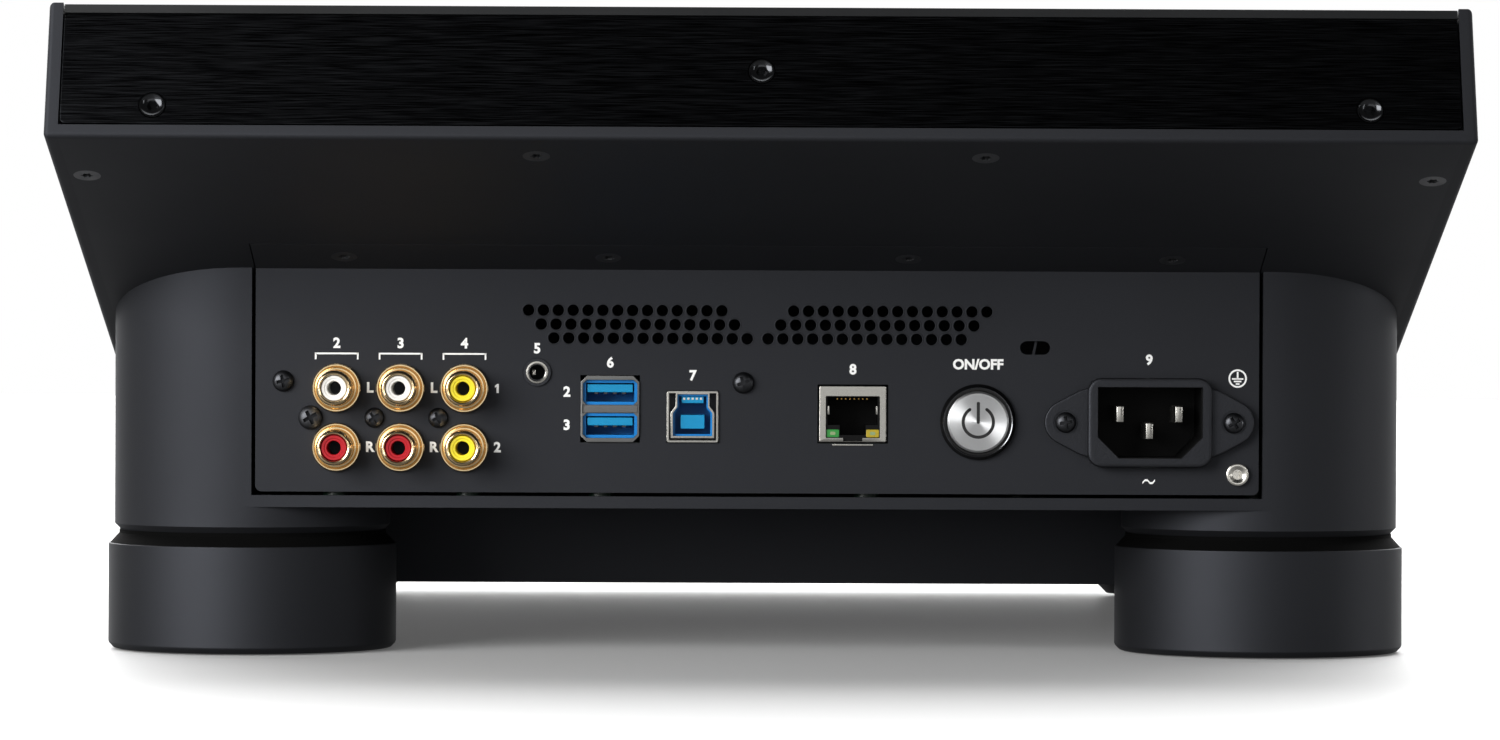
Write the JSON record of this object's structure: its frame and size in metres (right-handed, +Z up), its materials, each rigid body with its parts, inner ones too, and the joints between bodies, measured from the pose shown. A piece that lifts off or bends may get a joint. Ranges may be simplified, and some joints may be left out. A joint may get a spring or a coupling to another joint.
{
  "type": "dj player",
  "caption": "Table-top DJ media player: tilted touch display, jog wheel, performance pads and pitch fader on a wide slab over a footed base with rear audio, USB, network and mains sockets.",
  "frame": {"origin": "middle of the player's footprint, on the table", "axes": "+X right for the person who plays it, +Y to the rear sockets, +Z up"},
  "size_m": [0.32, 0.4382, 0.1507],
  "materials": {
    "charcoal_coat": "satin charcoal powder coat",
    "charcoal_moulding": "fine-textured charcoal moulding",
    "black_deck_plate": "satin black anodised plate",
    "brushed_black": "black anodised, brushed lengthwise",
    "screen_glass": "glossy dark screen glass",
    "screen_body": "matte black",
    "circuit_board": "solder-masked board",
    "foot_moulding": "satin charcoal moulding",
    "foot_rubber": "matte black rubber",
    "gold_plate": "polished gold plating",
    "socket_white": "white nylon",
    "socket_black": "black moulding",
    "socket_steel": "nickel-plated sheet",
    "socket_blue": "blue contact block",
    "switch_black": "glossy black bezel",
    "button_metal": "spun metal button",
    "black_screw": "blackened steel",
    "bright_screw": "nickel-plated",
    "jog_metal": "dark anodised, turned",
    "jog_touch": "black anodised, fine rings",
    "bearing_steel": "ground steel",
    "knob_rubber": "soft-touch black",
    "pad_rubber": "grey silicone",
    "transport_key": "glossy dark key",
    "small_key": "satin dark key"
  },
  "bodies": {
    "chassis": {"side_cheek_left": "charcoal_coat", "side_cheek_right": "charcoal_coat", "deck_case": "charcoal_moulding", "deck_plate": "black_deck_plate", "display_bezel": "black_deck_plate", "display_glass": "screen_glass", "display_module": "screen_body", "rear_fascia": "brushed_black", "base_housing": "charcoal_moulding", "bottom_pan": "charcoal_coat", "socket_boards": "circuit_board", "power_supply": "circuit_board", "rear_feet": "foot_moulding", "front_feet": "foot_moulding", "foot_pads": "foot_rubber", "rear_panel": "charcoal_coat", "rca_shells": "gold_plate", "rca_inserts": "socket_white", "rca_blocks": "socket_black", "remote_jack": "socket_black", "usb_a_shell": "socket_steel", "usb_cores": "socket_blue", "usb_b_shell": "socket_steel", "network_shell": "socket_steel", "network_core": "socket_black", "power_bezel": "switch_black", "mains_inlet": "socket_black", "mains_pins": "socket_steel", "panel_screws": "black_screw", "earth_screw": "bright_screw", "fascia_screws": "black_screw", "underside_screws": "black_screw", "front_usb_shell": "socket_steel", "jog_bearing": "bearing_steel", "jog_screen": "screen_glass", "control_board": "circuit_board", "fader_body": "screen_body"},
    "jog": {"jog_wheel": "jog_metal", "jog_plate": "jog_touch"},
    "pad_1": {"pad_1": "pad_rubber"},
    "pad_2": {"pad_2": "pad_rubber"},
    "pad_3": {"pad_3": "pad_rubber"},
    "pad_4": {"pad_4": "pad_rubber"},
    "pad_5": {"pad_5": "pad_rubber"},
    "pad_6": {"pad_6": "pad_rubber"},
    "pad_7": {"pad_7": "pad_rubber"},
    "pad_8": {"pad_8": "pad_rubber"},
    "play_button": {"play_button": "transport_key"},
    "cue_button": {"cue_button": "transport_key"},
    "track_back_button": {"track_back_button": "small_key"},
    "track_forward_button": {"track_forward_button": "small_key"},
    "sync_button": {"sync_button": "small_key"},
    "bend_down_button": {"bend_down_button": "small_key"},
    "bend_up_button": {"bend_up_button": "small_key"},
    "back_button": {"back_button": "small_key"},
    "power_button": {"power_button": "button_metal"},
    "loop_knob": {"loop_knob": "knob_rubber"},
    "select_shaft": {"select_shaft": "bearing_steel"},
    "select_knob": {"select_knob": "knob_rubber"},
    "fader_cap": {"fader_cap": "knob_rubber"}
  },
  "joints": [
    {"name": "jog_turn", "type": "hinge", "parent": "chassis", "child": "jog", "pos_m": [0, -0.11134, 0.08347], "axis": [0, -0.0698, 0.9976], "continuous": true},
    {"name": "pad_1_press", "type": "slide", "parent": "chassis", "child": "pad_1", "axis": [0, 0.0698, -0.9976], "range_m": [0, 0.0008], "stiffness_N_per_m": 1000, "springref_m": -0.001},
    {"name": "pad_2_press", "type": "slide", "parent": "chassis", "child": "pad_2", "axis": [0, 0.0698, -0.9976], "range_m": [0, 0.0008], "stiffness_N_per_m": 1000, "springref_m": -0.001},
    {"name": "pad_3_press", "type": "slide", "parent": "chassis", "child": "pad_3", "axis": [0, 0.0698, -0.9976], "range_m": [0, 0.0008], "stiffness_N_per_m": 1000, "springref_m": -0.001},
    {"name": "pad_4_press", "type": "slide", "parent": "chassis", "child": "pad_4", "axis": [0, 0.0698, -0.9976], "range_m": [0, 0.0008], "stiffness_N_per_m": 1000, "springref_m": -0.001},
    {"name": "pad_5_press", "type": "slide", "parent": "chassis", "child": "pad_5", "axis": [0, 0.0698, -0.9976], "range_m": [0, 0.0008], "stiffness_N_per_m": 1000, "springref_m": -0.001},
    {"name": "pad_6_press", "type": "slide", "parent": "chassis", "child": "pad_6", "axis": [0, 0.0698, -0.9976], "range_m": [0, 0.0008], "stiffness_N_per_m": 1000, "springref_m": -0.001},
    {"name": "pad_7_press", "type": "slide", "parent": "chassis", "child": "pad_7", "axis": [0, 0.0698, -0.9976], "range_m": [0, 0.0008], "stiffness_N_per_m": 1000, "springref_m": -0.001},
    {"name": "pad_8_press", "type": "slide", "parent": "chassis", "child": "pad_8", "axis": [0, 0.0698, -0.9976], "range_m": [0, 0.0008], "stiffness_N_per_m": 1000, "springref_m": -0.001},
    {"name": "play_press", "type": "slide", "parent": "chassis", "child": "play_button", "axis": [0, 0.0698, -0.9976], "range_m": [0, 0.0008], "stiffness_N_per_m": 1000, "springref_m": -0.001},
    {"name": "cue_press", "type": "slide", "parent": "chassis", "child": "cue_button", "axis": [0, 0.0698, -0.9976], "range_m": [0, 0.0008], "stiffness_N_per_m": 1000, "springref_m": -0.001},
    {"name": "track_back_press", "type": "slide", "parent": "chassis", "child": "track_back_button", "axis": [0, 0.0698, -0.9976], "range_m": [0, 0.0008], "stiffness_N_per_m": 1000, "springref_m": -0.001},
    {"name": "track_forward_press", "type": "slide", "parent": "chassis", "child": "track_forward_button", "axis": [0, 0.0698, -0.9976], "range_m": [0, 0.0008], "stiffness_N_per_m": 1000, "springref_m": -0.001},
    {"name": "sync_press", "type": "slide", "parent": "chassis", "child": "sync_button", "axis": [0, 0.0698, -0.9976], "range_m": [0, 0.0008], "stiffness_N_per_m": 1000, "springref_m": -0.001},
    {"name": "bend_down_press", "type": "slide", "parent": "chassis", "child": "bend_down_button", "axis": [0, 0.0698, -0.9976], "range_m": [0, 0.0008], "stiffness_N_per_m": 1000, "springref_m": -0.001},
    {"name": "bend_up_press", "type": "slide", "parent": "chassis", "child": "bend_up_button", "axis": [0, 0.0698, -0.9976], "range_m": [0, 0.0008], "stiffness_N_per_m": 1000, "springref_m": -0.001},
    {"name": "back_press", "type": "slide", "parent": "chassis", "child": "back_button", "axis": [0, 0.3305, -0.9438], "range_m": [0, 0.0008], "stiffness_N_per_m": 1000, "springref_m": -0.001},
    {"name": "power_press", "type": "slide", "parent": "chassis", "child": "power_button", "axis": [0, -1, 0], "range_m": [0, 0.0025], "stiffness_N_per_m": 1000, "springref_m": -0.001},
    {"name": "loop_turn", "type": "hinge", "parent": "chassis", "child": "loop_knob", "pos_m": [-0.1284, -0.06894, 0.08644], "axis": [0, -0.0698, 0.9976], "continuous": true},
    {"name": "select_press", "type": "slide", "parent": "chassis", "child": "select_shaft", "axis": [0, 0.3305, -0.9438], "range_m": [0, 0.0008], "stiffness_N_per_m": 1000, "springref_m": -0.001},
    {"name": "select_turn", "type": "hinge", "parent": "select_shaft", "child": "select_knob", "pos_m": [0.1374, 0.09746, 0.1113], "axis": [0, -0.3305, 0.9438], "continuous": true},
    {"name": "pitch_slide", "type": "slide", "parent": "chassis", "child": "fader_cap", "axis": [0, 0.9976, 0.0698], "range_m": [-0.05, 0.05]}
  ]
}
